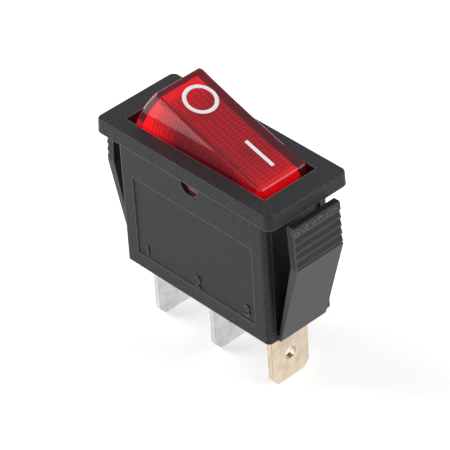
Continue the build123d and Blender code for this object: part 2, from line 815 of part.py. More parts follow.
# Resistor: a waisted body with a lead at each end
with BuildPart() as resistor_body:
    with BuildSketch(rocker_side):
        with BuildLine():
            cap = (resistor_far - resistor_near) * resistor_cap_share
            rim = lead_height + resistor_radius
            waist = lead_height + resistor_waist_radius
            Polyline(
                (resistor_near, lead_height),
                (resistor_near, rim - resistor_bevel),
                (resistor_near + resistor_bevel, rim),
                (resistor_near + cap, rim),
                (resistor_near + cap + resistor_bevel, waist),
                (resistor_far - cap - resistor_bevel, waist),
                (resistor_far - cap, rim),
                (resistor_far - resistor_bevel, rim),
                (resistor_far, rim - resistor_bevel),
                (resistor_far, lead_height),
                close=True,
            )
        make_face()
    revolve(axis=lamp_axis)
resistor_body.part.label = "resistor_body"
export_step(resistor_body.part, "parts/resistor_body.step")

with BuildPart() as resistor_lead_near:
    with BuildSketch(section_plane(pivot_z, rocker_tilt, resistor_near)):
        with Locations((0, lead_height)):
            RegularPolygon(lead_radius, lead_wire_sides)
    extrude(amount=joint_x - resistor_near - lead_radius)
resistor_lead_near.part.label = "resistor_lead_near"
export_step(resistor_lead_near.part, "parts/resistor_lead_near.step")

# The far lead goes down beside the rib and ends under it, on top of the lamp spring
under_rib = -spring_rib_drop - lead_radius
beside_peg = spring_peg_radius + 1.5 * lead_radius
resistor_lead_far = wire(
    [
        (resistor_far, 0, lead_height),
        (drop_x, 0, lead_height),
        (drop_x, beside_peg, under_rib),
        (lamp_spring_arm + spring_rib_thickness / 2, beside_peg, under_rib),
    ]
)
resistor_lead_far.label = "resistor_lead_far"
export_step(resistor_lead_far, "parts/resistor_lead_far.step")
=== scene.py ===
# %% [markdown]
# # A lit panel rocker switch, seen from above
#
# The switch snaps into a slot in a panel. Its black nylon housing, clear red rocker, sprung
# plunger, rocking contact lever, neon lamp and three push-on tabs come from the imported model.
# This script gives them their finishes, adds the thin and fine things that a moulding drawing
# leaves out, such as the ribs under the rocker's face and the printed marks, and lights it all.

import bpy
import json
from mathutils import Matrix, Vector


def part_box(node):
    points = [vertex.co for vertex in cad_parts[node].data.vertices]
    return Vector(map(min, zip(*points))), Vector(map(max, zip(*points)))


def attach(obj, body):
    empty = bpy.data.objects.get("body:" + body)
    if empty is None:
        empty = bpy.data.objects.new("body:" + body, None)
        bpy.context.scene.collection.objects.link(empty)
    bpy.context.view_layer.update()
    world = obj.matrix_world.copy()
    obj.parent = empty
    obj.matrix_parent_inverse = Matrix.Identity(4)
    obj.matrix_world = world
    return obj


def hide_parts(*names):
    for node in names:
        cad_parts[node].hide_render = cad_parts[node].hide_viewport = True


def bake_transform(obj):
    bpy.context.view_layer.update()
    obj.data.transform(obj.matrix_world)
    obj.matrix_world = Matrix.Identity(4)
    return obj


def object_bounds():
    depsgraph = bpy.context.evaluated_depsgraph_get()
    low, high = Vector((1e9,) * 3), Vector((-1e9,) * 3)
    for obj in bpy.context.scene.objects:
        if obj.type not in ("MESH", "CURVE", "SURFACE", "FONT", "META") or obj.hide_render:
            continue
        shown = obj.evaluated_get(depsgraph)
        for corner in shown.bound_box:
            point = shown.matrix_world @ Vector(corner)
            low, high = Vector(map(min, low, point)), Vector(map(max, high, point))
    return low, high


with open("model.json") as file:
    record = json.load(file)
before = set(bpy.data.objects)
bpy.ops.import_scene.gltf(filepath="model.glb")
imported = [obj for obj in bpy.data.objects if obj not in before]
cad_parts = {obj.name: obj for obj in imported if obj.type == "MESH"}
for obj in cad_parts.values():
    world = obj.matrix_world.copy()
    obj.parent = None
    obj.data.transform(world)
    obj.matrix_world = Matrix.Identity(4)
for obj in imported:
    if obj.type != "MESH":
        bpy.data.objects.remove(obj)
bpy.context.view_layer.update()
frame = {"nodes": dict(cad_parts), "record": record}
print("solids loaded:", len(frame["nodes"]))

# %% [markdown]
# ## Units
#
# Blender works in metres. Sizes are written here in millimetres, as on a drawing, and MM turns
# them into metres where points are made. Materials measure in metres, so they use MM too.

# %% Tools and units
import json
import math

import bmesh
import bpy
import numpy as np

MM = 0.001
print("one millimetre is", MM, "of Blender's units")

# %% [markdown]
# ## The rocker's own frame
#
# The rocker stands tilted 17.5 degrees, with its I end down. Everything on it is easier to work
# out in its own frame: `along` towards the I end, `across` towards the back and `up` out of its
# face, all in millimetres from the pivot. One function takes such points to the model's frame.

# %% The rocker's frame
TILT = math.radians(17.5)
PIVOT_Z = -1.5
FACE_HEIGHT = 7.15
FACE_DISH = 0.25
FACE_WALL = 1.3


def on_rocker(along, across, up):
    """Turns the points by the tilt about Y, then moves them to the pivot:
    x = along cos + up sin, z = up cos - along sin + pivot height."""
    along, across, up = np.broadcast_arrays(along, across, up)
    x = along * math.cos(TILT) + up * math.sin(TILT)
    z = up * math.cos(TILT) - along * math.sin(TILT) + PIVOT_Z
    return np.stack([x, across, z], axis=-1) * MM


rocker_low, rocker_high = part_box("rocker")
print("rocker spans", [round((b - a) / MM, 2) for a, b in zip(rocker_low, rocker_high)], "mm")

# %% [markdown]
# ## Surfaces from arrays
#
# A new piece is a grid of points: rows run one way over the surface and columns the other.
# `grid_faces` joins each four neighbours to a face. A grid that meets itself round a tube is closed
# with `wrap`, and a flat end is closed with a cap. All faces are made in one array step.


# %% Grid to mesh
def grid_faces(rows, columns, wrap=False):
    """Quads between neighbours: corner (r, c) has number r * columns + c. With wrap the last
    column is joined to the first."""
    last = columns if wrap else columns - 1
    r, c = np.meshgrid(np.arange(rows - 1), np.arange(last), indexing="ij")
    n = (c + 1) % columns
    here, above = r * columns, (r + 1) * columns
    return np.stack([here + c, here + n, above + n, above + c], -1).reshape(-1, 4)


def tube_faces(rings, sides):
    """A tube of rings closed by a flat cap at each end."""
    body = [list(f) for f in grid_faces(rings, sides, wrap=True)]
    first = list(range(sides))[::-1]
    last = list(range((rings - 1) * sides, rings * sides))
    return body + [first, last]


def make_piece(name, points, faces, smooth=True):
    """Puts points, an array of (x, y, z) in metres, and faces into a new mesh object."""
    mesh = bpy.data.meshes.new(name)
    corners = np.asarray(points).reshape(-1, 3).tolist()
    mesh.from_pydata(corners, [], [list(map(int, f)) for f in faces])
    mesh.validate()
    piece = bpy.data.objects.new(name, mesh)
    bpy.context.scene.collection.objects.link(piece)
    mesh.polygons.foreach_set("use_smooth", np.full(len(mesh.polygons), smooth))
    mesh.update()
    print(name, "has", len(mesh.vertices), "corners and", len(mesh.polygons), "faces")
    return piece


# %% [markdown]
# ## Printed marks
#
# The O and the I are printed in white ink on the dished face. The ink is a film a few hundredths
# of a millimetre thick, so each mark is a closed ribbon: a short rectangle of ink carried along a
# path that lies on the face. The face is a shallow trough, a circle's arc along the rocker. The
# arc is worked out over a length a little greater than the face's own.

# %% The face's height
HALF_FACE = 9.6
FACE_ARC = (HALF_FACE**2 + FACE_DISH**2) / (2 * FACE_DISH)


def face_up(along):
    """Height of the dished face: the arc through its two end edges and its low middle."""
    return FACE_HEIGHT - FACE_DISH + FACE_ARC - np.sqrt(FACE_ARC**2 - along**2)


print("the face dips", round(float(face_up(HALF_FACE) - face_up(0)), 3), "mm in the middle")

# %% [markdown]
# The ribbon's section has six corners: a foot sunk a little into the face, so that no light gets
# under it, upright sides, and a top with its two edges broken as ink leaves them.

# %% Ink ribbons
INK = 0.03
INK_SUNK = 0.01
MARK_WIDTH = 0.52
SECTION_SIDE = np.array([-0.5, -0.42, 0.42, 0.5, 0.5, -0.5])
SECTION_LIFT = np.array([0.6, 1.0, 1.0, 0.6, -INK_SUNK / INK, -INK_SUNK / INK])


def ink_ribbon(name, along, across, side_along, side_across, closed):
    """Carries the ink's section along a path. (along, across) are the path's points and
    (side_along, side_across) the unit direction across it. The section's corners are shares of
    the mark's width and of the ink's thickness."""
    offsets = SECTION_SIDE * MARK_WIDTH
    a = along[:, None] + side_along[:, None] * offsets
    c = across[:, None] + side_across[:, None] * offsets
    points = on_rocker(a, c, face_up(a) + SECTION_LIFT * INK)
    rings, sides = a.shape
    if closed:
        faces = grid_faces(rings + 1, sides, wrap=True) % (rings * sides)
    else:
        faces = tube_faces(rings, sides)
    return make_piece(name, points, faces, smooth=False)


# %% [markdown]
# The O's path is a circle, and the direction across it is the radius. The I's path is a straight
# line along the rocker. Both ride on the rocker's body, so they tilt with it.

# %% O and I
MARK_O_CENTRE = (-5.7, 0.3)
MARK_O_RADIUS = 2.05
MARK_O_POINTS = 96
MARK_I_ENDS = (2.49, 7.38)
MARK_I_ACROSS = 0.35
MARK_I_POINTS = 24
turn = np.linspace(0, 2 * math.pi, MARK_O_POINTS, endpoint=False)
mark_o = ink_ribbon(
    "mark_o",
    MARK_O_CENTRE[0] + MARK_O_RADIUS * np.cos(turn),
    MARK_O_CENTRE[1] + MARK_O_RADIUS * np.sin(turn),
    np.cos(turn),
    np.sin(turn),
    closed=True,
)
straight = np.ones(MARK_I_POINTS)
mark_i = ink_ribbon(
    "mark_i",
    np.linspace(*MARK_I_ENDS, MARK_I_POINTS),
    MARK_I_ACROSS * straight,
    0 * straight,
    straight,
    closed=False,
)
for mark in (mark_o, mark_i):
    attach(mark, "rocker")

# %% [markdown]
# ## Ribs under the face
#
# On the real rocker the inside of the clear shell is moulded into fine ribs, which spread the
# lamp's light. Seen from above they make a woven pattern of bright lands and dark grooves. They
# stop short of the two ends, and the lands are fuller towards them. How deep each point lies and
# how near an end it is are kept as attributes for the material, which paints painted shade in the
# grooves and a painted glow towards the ends.

# %% Rib pattern
RIB_ALONG_PITCH = 0.52
RIB_ACROSS_PITCH = 0.8
RIB_DEPTH = 0.06
RIB_FADE = 0.15
PLAIN_AT_O = 1.1
PLAIN_AT_I = 0.6
GLOW_FROM = 4.5
GLOW_TO = 8.5
TOP_GLOW = 0.24
I_END_SHARE = 0.4


def ridge(value, pitch, roundness=0.9):
    """From 0 in the groove to 1 on the land: |sin(pi value / pitch)| to the power roundness."""
    return np.abs(np.sin(np.pi * value / pitch)) ** roundness


def ribbed_share(along, end):
    """1 where there are ribs, fading to 0 on the plain band beside the end wall at +-end."""
    plain = np.where(along > 0, PLAIN_AT_I, PLAIN_AT_O)
    return np.clip((end - plain - np.abs(along)) / RIB_FADE, 0, 1)


def near_end(along):
    """0 in the middle of the rocker, rising to 1 towards both ends."""
    return np.clip((np.abs(along) - GLOW_FROM) / (GLOW_TO - GLOW_FROM), 0, 1)


def store_number(piece, name, values):
    """Keeps values, one number for each corner, as an attribute for the material."""
    layer = piece.data.attributes.new(name, "FLOAT", "POINT")
    layer.data.foreach_set("value", np.asarray(values, dtype=np.float32).ravel())


print("rows of ribs along the face:", int(2 * HALF_FACE / RIB_ALONG_PITCH))

# %% [markdown]
# The ribs under the face are one sheet, with a smooth underside and a wall of faces round its
# rim. Its top sinks by the rib depth where the pattern is lowest. The pattern is the mean of two
# sets of ridges, one along and one across, and the land share keeps the ribbed part a little
# lower than the plain bands. Two slow waves bend the rows, so that they don't look ruled. Each
# wave has a height in mm and says how fast it turns along and across, in radians for each mm.

# %% Ribbed sheet
SHEET_HALF_LENGTH = 9.08
SHEET_HALF_WIDTH = 2.97
SHEET_THICKNESS = 0.16
SHEET_GAP = 0.01
SHEET_GRID = (246, 62)
LAND_SHARE = 0.72
LAND_SHARE_AT_END = 0.9
ACROSS_SHIFT = 0.2
ACROSS_ROUNDNESS = 0.6
WAVES = [(0.05, 1.7, 2.1), (0.04, 2.9, -3.7)]
rows = np.linspace(-SHEET_HALF_LENGTH, SHEET_HALF_LENGTH, SHEET_GRID[0])
columns = np.linspace(-SHEET_HALF_WIDTH, SHEET_HALF_WIDTH, SHEET_GRID[1])
a, c = np.meshgrid(rows, columns, indexing="ij")
wander = sum(height * np.sin(fast_a * a + fast_c * c) for height, fast_a, fast_c in WAVES)
along_ridges = ridge(a + wander, RIB_ALONG_PITCH)
across_ridges = ridge(c + ACROSS_SHIFT + wander, RIB_ACROSS_PITCH, ACROSS_ROUNDNESS)
woven = 0.5 * along_ridges + 0.5 * across_ridges
glow = near_end(a)
land = LAND_SHARE + (LAND_SHARE_AT_END - LAND_SHARE) * glow
depth = 1 - ribbed_share(a, SHEET_HALF_LENGTH) * (1 - land * woven)
underside = face_up(a) - FACE_WALL - SHEET_GAP
top = on_rocker(a, c, underside - RIB_DEPTH * (1 - depth))
bottom = on_rocker(a, c, underside - SHEET_THICKNESS)

last_row, last_column = SHEET_GRID[0] - 1, SHEET_GRID[1] - 1
numbered = np.arange(a.size).reshape(SHEET_GRID)
rim = np.concatenate(
    [
        numbered[0, :],
        numbered[1:, last_column],
        numbered[last_row, last_column - 1 :: -1],
        numbered[last_row - 1 : 0 : -1, 0],
    ]
)
around = np.roll(rim, -1)
lid = grid_faces(*SHEET_GRID)
wall = np.stack([around, rim, rim + a.size, around + a.size], -1)
rib_sheet = make_piece(
    "rib_sheet",
    np.concatenate([top.reshape(-1, 3), bottom.reshape(-1, 3)]),
    np.concatenate([lid, lid[:, ::-1] + a.size, wall]),
)
# Painted glow: the sheet's ends get a red glow, weaker at the I end.
top_glow = TOP_GLOW * glow * np.where(a > 0, I_END_SHARE, 1)
# Painted shade: the groove depth is kept so that the material paints the grooves darker.
store_number(rib_sheet, "rib_shade", [depth, depth])
store_number(rib_sheet, "painted_end_glow", [top_glow, top_glow])

# %% [markdown]
# ## Ribs inside the walls
#
# The walls are ribbed inside too. Their liner is a band that goes once round the inside of the
# shell: a closed loop of points at each height, first up the outside and then down the inside,
# so the band has a thickness and no open edge. Its ribs stand upright.

# %% Room between the walls
SHELL_FOOT = -2.2
END_RADIUS = 23.0
END_AT_FOOT = 11.55
WALL = 0.9
HALF_WIDTH_AT_FOOT = 3.32
DRAFT = 0.34
SIDE_POINTS = 220
END_POINTS = 50


def half_width(up):
    """Half the room between the side walls, which lean in evenly by the draft over the height."""
    return HALF_WIDTH_AT_FOOT - DRAFT * (up - SHELL_FOOT) / (FACE_HEIGHT - SHELL_FOOT)


def half_length(up):
    """Half the room between the bulged end walls: a circle's arc centred at the foot's height."""
    return END_AT_FOOT - END_RADIUS + np.sqrt((END_RADIUS - WALL) ** 2 - (up - SHELL_FOOT) ** 2)


def wall_loop(up):
    """One loop round the room at height up: a side, the I end, the other side, the O end."""
    side = np.linspace(-1, 1, SIDE_POINTS, endpoint=False)
    end = np.linspace(-1, 1, END_POINTS, endpoint=False)
    one_side, one_end = np.ones_like(side), np.ones_like(end)
    share_along = np.concatenate([side, one_end, -side, -one_end])
    share_across = np.concatenate([-one_side, end, one_side, -end])
    return share_along * half_length(up), share_across * half_width(up)


print("room at the foot:", 2 * half_length(SHELL_FOOT), "by", 2 * half_width(SHELL_FOOT), "mm")

# %% [markdown]
# The band stands a hair inside the walls, and that thin gap of air is what makes the shell look
# like clear plastic over a ribbed lining. Its colour carries painted light: a painted glow,
# strongest low down at the O end, stands for the light that the long wall pipes there; the sides
# are painted darker away from the ends, and painted shade lies behind the trunnion.

# %% Ribbed band
BAND_GAP = 0.03
BAND_THICKNESS = 0.12
BAND_LOW = -2.0
BAND_HIGH = 5.72
BAND_LEVELS = 14
SIDE_SHARE = 0.3
LOW_GLOW_TOP = 4
PIVOT_SHADE = 1.8
PIVOT_SHARE = 0.1
NO_GAP = 1e-6
heights = np.linspace(BAND_LOW, BAND_HIGH, BAND_LEVELS)
outer_levels = [(h, 0) for h in heights]
inner_levels = [(h, BAND_THICKNESS) for h in heights[::-1]]
rings, rib_shades, glows = [], [], []
for up, inset in outer_levels + inner_levels:
    a, c = wall_loop(up)
    on_side = np.abs(c) > half_width(up) - NO_GAP
    upright = np.where(on_side, ridge(a, RIB_ALONG_PITCH), ridge(c, RIB_ACROSS_PITCH))
    land = 1 - ribbed_share(a, half_length(up)) * (1 - upright)
    sunk = BAND_GAP + inset + (RIB_DEPTH * (1 - land) if inset == 0 else 0)
    shrink_along = 1 - sunk / half_length(up)
    shrink_across = 1 - sunk / half_width(up)
    rings.append(on_rocker(a * shrink_along, c * shrink_across, np.full_like(a, up)))

    glow = near_end(a)
    # Painted shade: the sides are painted darker away from the ends, and darker still behind the
    # trunnion.
    shade = np.where(np.hypot(a, up) < PIVOT_SHADE, PIVOT_SHARE, 1)
    rib_shades.append(land * (SIDE_SHARE + (1 - SIDE_SHARE) * glow) * shade)
    # Painted glow: a red glow towards the ends, strongest low down at the O end.
    low_share = np.clip((LOW_GLOW_TOP - up) / LOW_GLOW_TOP, 0, 1)
    glows.append(glow * np.where(a > 0, TOP_GLOW, TOP_GLOW + (1 - TOP_GLOW) * low_share))
ring_count, ring_size = len(rings), rings[0].shape[0]
faces = grid_faces(ring_count + 1, ring_size, wrap=True) % (ring_count * ring_size)
rib_band = make_piece("rib_band", np.concatenate(rings), faces)
store_number(rib_band, "rib_shade", rib_shades)
store_number(rib_band, "painted_end_glow", glows)
for liner in (rib_sheet, rib_band):
    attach(liner, "rocker")

# %% [markdown]
# ## Lips of the wings' ribs
#
# Each wing has five finger ribs, and each rib ends in a rounded lip over the groove below it. The
# lips are rods with an oval section that lie along the lower edges of the ribs and taper at both
# ends, five on each wing, all in one piece for each wing. They stay inside the wings' own width.
# A wing leans out by 0.35 mm over the 6.2 mm of its ribbed part.

# %% Rib lips
WING_TOP = (16.8, -0.5)
WING_LEAN = -0.35 / 6.2
FIRST_RIB = -1.75
RIB_STEP = 1.17
RIBS = 5
LIP_OVAL = (0.12, 0.15)
LIP_HALF = 3.9
LIP_INWARD = 0.11
LIP_UPWARD = 0.12
LIP_RINGS = 24
LIP_SIDES = 12
LIP_TAPER = 0.03
LIP_LAST_RING = 0.995
LIP_TIP_SIZE = 0.02


def rib_lips(name, end):
    """Five oval rods along Y. Their sections shrink to a point at each end by a square root, as
    an ellipsoid's do. end is 1 for the wing beside terminal 3 and -1 for the other."""
    inner_rings = np.linspace(-LIP_LAST_RING, LIP_LAST_RING, LIP_RINGS)
    share = np.concatenate([[-1.0], inner_rings, [1.0]])
    taper = np.clip((1 - np.abs(share)) / LIP_TAPER, 0, 1)
    size = np.minimum(1, np.sqrt(taper) + LIP_TIP_SIZE)
    turn = np.linspace(0, 2 * math.pi, LIP_SIDES, endpoint=False)
    points, faces = [], []
    for rib in range(RIBS):
        low = FIRST_RIB - RIB_STEP * rib
        out = WING_TOP[0] + WING_LEAN * (low - WING_TOP[1])
        x = (out - LIP_INWARD + LIP_OVAL[0] * size[:, None] * np.cos(turn)) * end
        z = low + LIP_UPWARD + LIP_OVAL[1] * size[:, None] * np.sin(turn)
        y = np.broadcast_to(LIP_HALF * share[:, None] * end, x.shape)
        rod = tube_faces(len(share), LIP_SIDES)
        faces += [[corner + rib * x.size for corner in face] for face in rod]
        points.append(np.stack([x, y, z], -1).reshape(-1, 3) * MM)
    lips = make_piece(name, np.concatenate(points), faces)
    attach(lips, "base")
    return lips


lips = [rib_lips("rib_lips_near", 1), rib_lips("rib_lips_far", -1)]

# %% [markdown]
# ## Coil springs
#
# Both springs are round wire wound with closed ends: about one turn at each end lies flat, and
# the turns between are open. The wire is a circle carried along that helix. The plunger's spring
# runs from the rocker at its top to the plunger at its foot. The lamp's spring stands on its
# terminal.

# %% Coil maker
STEPS_PER_TURN = 40
WIRE_SIDES = 12


def coil(name, place, radius, wire, low, high, turns):
    """Round wire on a helix from low to high. Over each end turn it climbs by one thickness of
    wire, so the end turns are closed, and the open turns share the rest evenly. place turns
    local (x, y, height) into the model's frame."""
    t = np.linspace(0, 1, turns * STEPS_PER_TURN + 1)
    flat = 1.0 / turns
    open_part = np.clip((t - flat) / (1 - 2 * flat), 0, 1)
    closed = np.clip(t / flat, 0, 1) + np.clip((t - 1 + flat) / flat, 0, 1)
    climb = high - low - wire
    height = low + wire / 2 + wire * closed + (climb - 2 * wire) * open_part
    angle = 2 * math.pi * turns * t
    around_wire = np.linspace(0, 2 * math.pi, WIRE_SIDES, endpoint=False)
    reach = radius + wire / 2 * np.cos(around_wire)
    x = reach * np.cos(angle)[:, None]
    y = reach * np.sin(angle)[:, None]
    z = height[:, None] + wire / 2 * np.sin(around_wire)
    spring = make_piece(name, place(x, y, z), tube_faces(len(t), WIRE_SIDES))
    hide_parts(name.replace("_coil", ""))
    return spring


# %% [markdown]
# Each spring stands for the plain coil of the imported model, at its place. The end turns are
# 0.6 mm of each spring; the two points on the rocker's axis that this gives are worked out but
# not used. The lamp spring's place is measured on the imported coil. The plunger spring lies on
# the rocker's own axis, so two heights give its place.

# %% The two springs
END_TURNS = 0.6
LAMP_COIL = {"radius": 1.05, "wire": 0.3, "turns": 7}
PLUNGER_COIL = {"radius": 0.85, "wire": 0.28, "turns": 8}
PLUNGER_SPRING_FOOT = -9.1
PLUNGER_SPRING_TOP = 3.78
lamp_spring_low, lamp_spring_high = (np.array(corner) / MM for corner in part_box("lamp_spring"))
LAMP_SPRING_X = (lamp_spring_low[0] + lamp_spring_high[0]) / 2


def in_housing(x, y, z):
    """Puts the lamp spring's points at its place on the terminal's shelf."""
    return np.stack(np.broadcast_arrays(x + LAMP_SPRING_X, y, z), axis=-1) * MM


lamp_spring = coil(
    "lamp_spring_coil",
    in_housing,
    low=lamp_spring_low[2],
    high=lamp_spring_high[2],
    **LAMP_COIL,
)
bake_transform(lamp_spring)
plunger_spring = coil(
    "plunger_spring_coil",
    on_rocker,
    low=PLUNGER_SPRING_FOOT,
    high=PLUNGER_SPRING_TOP,
    **PLUNGER_COIL,
)
tuple(on_rocker(0, 0, PLUNGER_SPRING_TOP - END_TURNS))
tuple(on_rocker(0, 0, PLUNGER_SPRING_FOOT + END_TURNS))
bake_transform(plunger_spring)

# %% [markdown]
# ## Terminal numbers
#
# Plain numbers 1, 2 and 3 stand proud of the recessed panel, each above its tab. Each is a line of
# text made into a mesh, then laid on the panel by turning its upright axis to Z and its face to
# the front. The text's own size and depth don't matter, as both are measured and scaled.

# %% Raised numbers
PANEL_Y = -5.35
NUMBER_HEIGHT = 1.7
NUMBER_PROUD = 0.14
NUMBER_ROOT = 0.05
SAME_PLACE = 1e-6
NUMBER_PLACES = {"1": (-8.9, -16.4), "2": (0.36, -16.5), "3": (9.3, -16.2)}


def text_mesh(digit):
    """A solid mesh of one digit, lying flat, and its corners as an array."""
    text = bpy.data.curves.new("text_" + digit, "FONT")
    text.body = digit
    text.extrude = 0.5
    text.resolution_u = 6
    carrier = bpy.data.objects.new("text_" + digit, text)
    mesh = bpy.data.meshes.new_from_object(carrier)
    bpy.data.objects.remove(carrier)
    corners = np.empty(len(mesh.vertices) * 3)
    mesh.vertices.foreach_get("co", corners)
    return mesh, corners.reshape(-1, 3)


def join_corners(mesh):
    """Joins the corners that the text's front, back and sides each have for themselves."""
    solid = bmesh.new()
    solid.from_mesh(mesh)
    bmesh.ops.remove_doubles(solid, verts=solid.verts, dist=SAME_PLACE)
    solid.to_mesh(mesh)
    solid.free()


numbers = []
for digit, (centre_x, centre_z) in NUMBER_PLACES.items():
    mesh, corners = text_mesh(digit)
    low, high = corners.min(0), corners.max(0)
    middle = (low + high) / 2
    scale = NUMBER_HEIGHT / (high[1] - low[1])
    depth_share = (corners[:, 2] - low[2]) / (high[2] - low[2])
    x = (corners[:, 0] - middle[0]) * scale + centre_x
    z = (corners[:, 1] - middle[1]) * scale + centre_z
    y = PANEL_Y - depth_share * (NUMBER_PROUD + NUMBER_ROOT) + NUMBER_ROOT
    mesh.vertices.foreach_set("co", (np.stack([x, y, z], -1) * MM).ravel())
    join_corners(mesh)
    mesh.name = "number_" + digit
    number = bpy.data.objects.new("number_" + digit, mesh)
    bpy.context.scene.collection.objects.link(number)
    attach(number, "base")
    numbers.append(number)
    print(number.name, "has", len(mesh.vertices), "corners")

# %% [markdown]
# ## Material building blocks
#
# A few short helpers keep the node trees readable. Most of them add one node and hand back its
# output.


# %% Node helpers
def add(tree, kind, links=None, **settings):
    """Adds a node, sets its properties, and fills sockets: a link for a socket, else a value."""
    node = tree.nodes.new(kind)
    for key, value in settings.items():
        setattr(node, key, value)
    for key, value in (links or {}).items():
        socket = node.inputs[key]
        if isinstance(value, bpy.types.NodeSocket):
            tree.links.new(value, socket)
        else:
            socket.default_value = value
    return node


def maths(tree, operation, *values):
    """One step of arithmetic on numbers or sockets."""
    return add(tree, "ShaderNodeMath", dict(enumerate(values)), operation=operation).outputs[0]


def ramp(tree, value, start, end, low=0.0, high=1.0):
    """Takes value from the range start to end to the range low to high, and holds it there."""
    ranges = {"From Min": start, "From Max": end, "To Min": low, "To Max": high}
    return add(tree, "ShaderNodeMapRange", {"Value": value, **ranges}).outputs[0]


def noise(tree, vector, scale, detail, roughness=0.5):
    """Cloudy noise from 0 to 1. A scale of 1000 makes clouds about a millimetre wide."""
    looks = {"Scale": scale, "Detail": detail, "Roughness": roughness}
    return add(tree, "ShaderNodeTexNoise", {"Vector": vector, **looks}).outputs[0]


MIX_FIRST, MIX_SECOND, MIX_RESULT = 6, 7, 2


def mix_colours(tree, factor, first, second):
    """Mixes two colours by factor, a socket. Each colour is three numbers or a socket. The Mix
    node has sockets of the same name for each kind of data, so its colours go by number."""
    mixed = add(tree, "ShaderNodeMix", data_type="RGBA")
    tree.links.new(factor, mixed.inputs["Factor"])
    for key, value in ((MIX_FIRST, first), (MIX_SECOND, second)):
        if isinstance(value, bpy.types.NodeSocket):
            tree.links.new(value, mixed.inputs[key])
        else:
            mixed.inputs[key].default_value = (*value, 1)
    return mixed.outputs[MIX_RESULT]


def object_place(tree):
    """The point's place on the model, in metres, which moves with its piece."""
    return add(tree, "ShaderNodeTexCoord").outputs["Object"]


def new_group(name, inputs, outputs):
    """A shader node group of numbers. inputs maps names to defaults, and outputs are names."""
    group = bpy.data.node_groups.new(name, "ShaderNodeTree")
    for label, default in inputs.items():
        socket = group.interface.new_socket(label, in_out="INPUT", socket_type="NodeSocketFloat")
        socket.default_value = default
    for label in outputs:
        group.interface.new_socket(label, in_out="OUTPUT", socket_type="NodeSocketFloat")
    return group, group.nodes.new("NodeGroupInput"), group.nodes.new("NodeGroupOutput")


def use_group(tree, group, **values):
    """Puts a shared group into a material with these inputs, and hands back its outputs."""
    return add(tree, "ShaderNodeGroup", values, node_tree=group).outputs


# %% [markdown]
# The finishes share three effects, each a node group. The first is the fine grain of a
# spark-eroded mould: noise and small cells together make its height, and the noise alone makes
# paler specks, as strong as the contrast says.

# %% Grain group
grain_group, ins, outs = new_group(
    "mould_grain", {"Size": 1.0, "Contrast": 0.5}, ["Height", "Speckle"]
)
scaled = add(
    grain_group, "ShaderNodeVectorMath", {0: object_place(grain_group)}, operation="SCALE"
)
grain_group.links.new(ins.outputs["Size"], scaled.inputs["Scale"])
fine = noise(grain_group, scaled.outputs[0], 9000.0, 3.0, roughness=0.65)
cells = add(grain_group, "ShaderNodeTexVoronoi", {"Vector": scaled.outputs[0], "Scale": 6500.0})
height = maths(grain_group, "ADD", fine, cells.outputs["Distance"])
speckle = ramp(grain_group, fine, 0.35, 0.75, high=ins.outputs["Contrast"])
grain_group.links.new(height, outs.inputs["Height"])
grain_group.links.new(speckle, outs.inputs["Speckle"])
print("group", grain_group.name, "has", len(grain_group.nodes), "nodes")

# %% [markdown]
# The second is a mask along edges: darker sheared edges on the tabs, and a painted highlight along
# the nylon's edges. A rounded normal is compared with the true one: their product is
# 1 on a flat face and falls where the rounding reaches over an edge.

# %% Edge wear and painted highlight group
wear_and_highlight_group, ins, outs = new_group("edge_wear_and_highlight", {"Width": 0.15 * MM, "Amount": 1.0}, ["Mask"])
rounded = add(wear_and_highlight_group, "ShaderNodeBevel", {"Radius": ins.outputs["Width"]}, samples=6)
normal = add(wear_and_highlight_group, "ShaderNodeNewGeometry").outputs["Normal"]
turned = add(
    wear_and_highlight_group, "ShaderNodeVectorMath", {0: rounded.outputs[0], 1: normal}, operation="DOT_PRODUCT"
)
edge = ramp(wear_and_highlight_group, turned.outputs["Value"], 0.995, 0.86, high=ins.outputs["Amount"])
wear_and_highlight_group.links.new(edge, outs.inputs["Mask"])
print("group", wear_and_highlight_group.name, "has", len(wear_and_highlight_group.nodes), "nodes")

# %% [markdown]
# The third is the smudges of handling on clear things: patches that are a little rougher.

# %% Smudge group
smudge_group, ins, outs = new_group("smudges", {"Low": 0.01, "High": 0.06}, ["Roughness"])
patches = noise(smudge_group, object_place(smudge_group), 350.0, 5.0)
rough = ramp(smudge_group, patches, 0.4, 0.7, ins.outputs["Low"], ins.outputs["High"])
smudge_group.links.new(rough, outs.inputs["Roughness"])
print("shared groups:", [g.name for g in bpy.data.node_groups])

# %% [markdown]
# Every material starts in the same way, with one Principled shader joined to the output. Numbers
# that are the same all over are set on the shader's own sockets. FINISHES keeps each material
# under its plain name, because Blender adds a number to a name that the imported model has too.

# %% Start of a material
FINISHES = {}


def start_material(name):
    """An empty material with its Principled shader and output; returns its tree and shader."""
    material = bpy.data.materials.new(name)
    FINISHES[name] = material
    material.use_nodes = True
    tree = material.node_tree
    tree.nodes.clear()
    shader = add(tree, "ShaderNodeBsdfPrincipled")
    add(tree, "ShaderNodeOutputMaterial", {"Surface": shader.outputs["BSDF"]}).name = "output"
    return tree, shader


def set_values(shader, **values):
    """Sets the shader's own sockets, named with underscores for spaces."""
    for key, value in values.items():
        shader.inputs[key.replace("_", " ")].default_value = value


def feed(tree, output, shader, socket):
    """Joins a node's output to one of the shader's sockets."""
    tree.links.new(output, shader.inputs[socket])


# %% [markdown]
# ## Black nylon
#
# The housing is glass-filled nylon from a spark-eroded mould: near black, matt, with a fine
# grain that catches the light as grey specks. Its edges carry a paler painted highlight.

